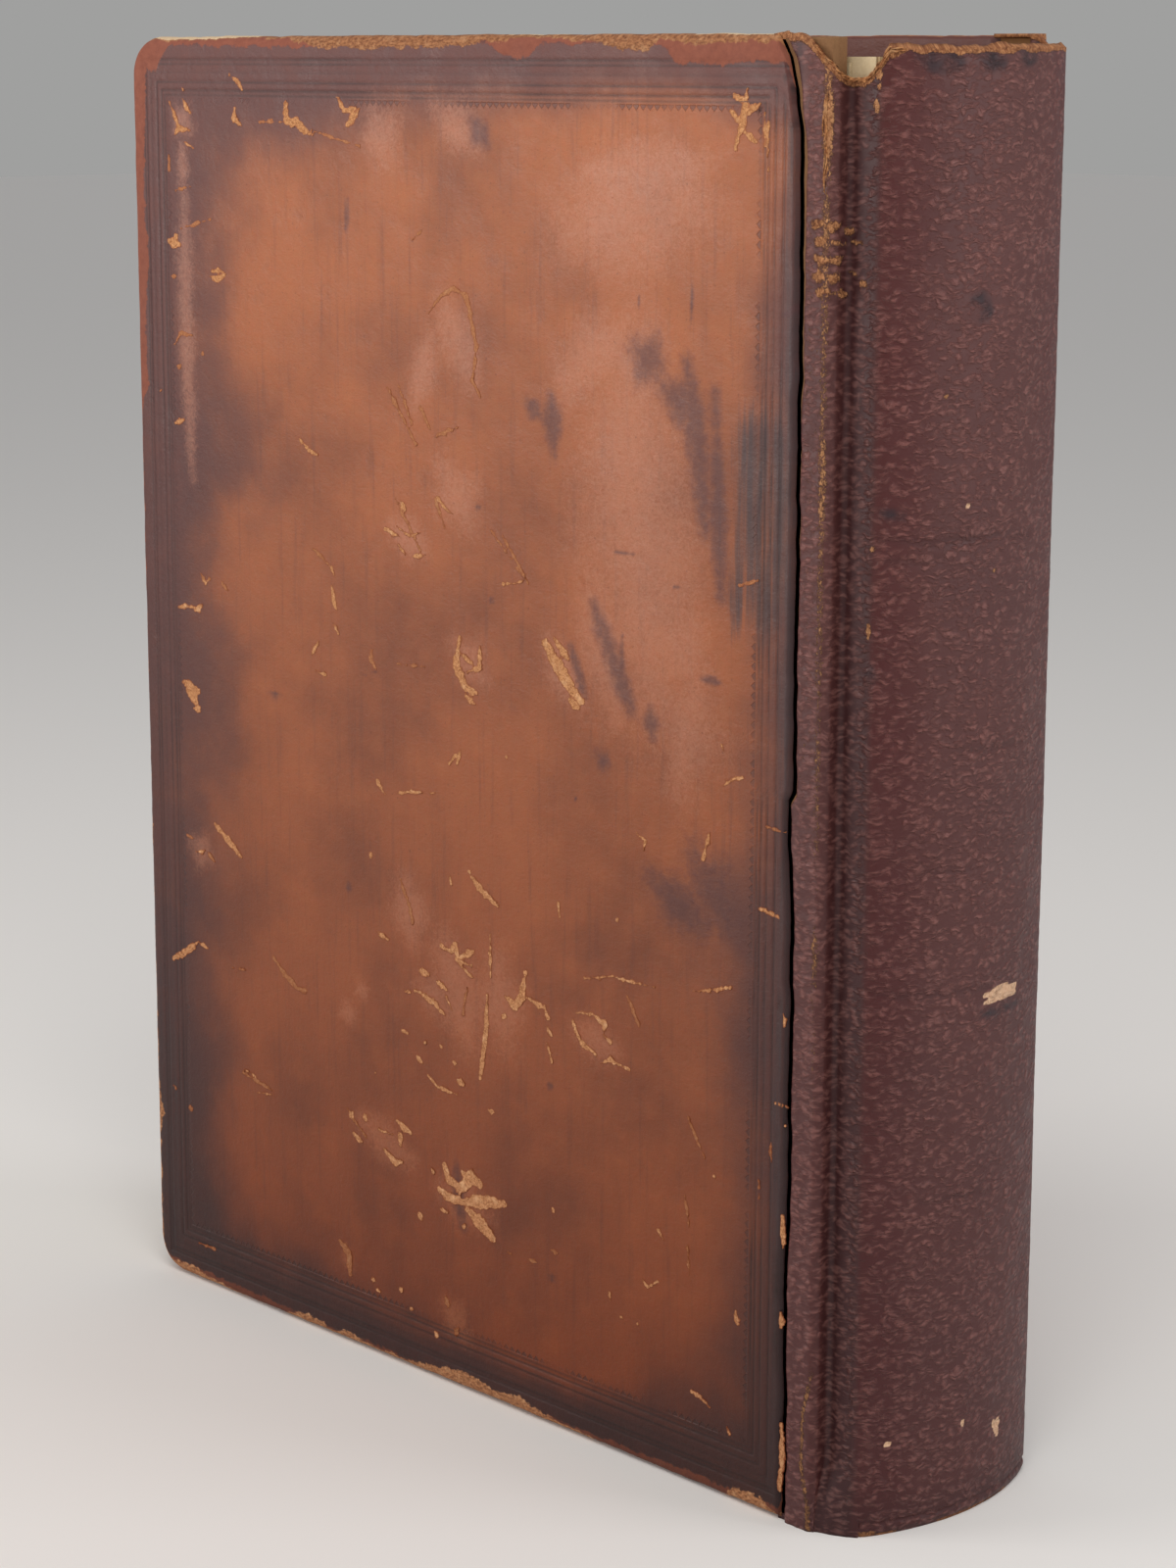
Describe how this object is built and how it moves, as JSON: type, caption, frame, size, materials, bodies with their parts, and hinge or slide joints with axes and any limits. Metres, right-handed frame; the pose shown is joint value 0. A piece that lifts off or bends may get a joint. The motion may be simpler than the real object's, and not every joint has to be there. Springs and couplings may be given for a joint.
{
  "type": "antique leather book",
  "caption": "Antique leather-bound book standing on its tail, with hinged tooled boards, a newer plain rounded spine and a solid text block.",
  "frame": {"origin": "on the surface under the middle of the standing book", "axes": "+X towards the spine, +Y towards the front cover, +Z towards the head"},
  "size_m": [0.2042, 0.0554, 0.26],
  "materials": {
    "old_calf": "worn satin, tan with dark borders",
    "spine_leather": "pebbled satin, dark maroon",
    "board": "matte",
    "leaves": "matte, browned at the edges",
    "endpaper": "matte",
    "lining": "matte",
    "band": "matte thread",
    "cord": "matte hemp"
  },
  "bodies": {
    "block": {"text_block": "leaves", "sewing_cords": "cord", "spine_lining": "lining", "spine_hollow": "lining", "spine_leather": "spine_leather", "head_band": "band", "tail_band": "band", "rear_flyleaf": "endpaper", "front_flyleaf": "endpaper"},
    "rear_cover": {"rear_board": "board", "rear_cover_leather": "old_calf", "rear_joint_leather": "spine_leather", "rear_pastedown": "endpaper"},
    "front_cover": {"front_board": "board", "front_cover_leather": "old_calf", "front_joint_leather": "spine_leather", "front_pastedown": "endpaper"}
  },
  "joints": [
    {"name": "rear_hinge", "type": "hinge", "parent": "block", "child": "rear_cover", "pos_m": [0.0937, -0.02355, 0], "axis": [0, 0, 1], "range_deg": [0, 175]},
    {"name": "front_hinge", "type": "hinge", "parent": "block", "child": "front_cover", "pos_m": [0.0937, 0.02355, 0], "axis": [0, 0, -1], "range_deg": [0, 175]}
  ]
}
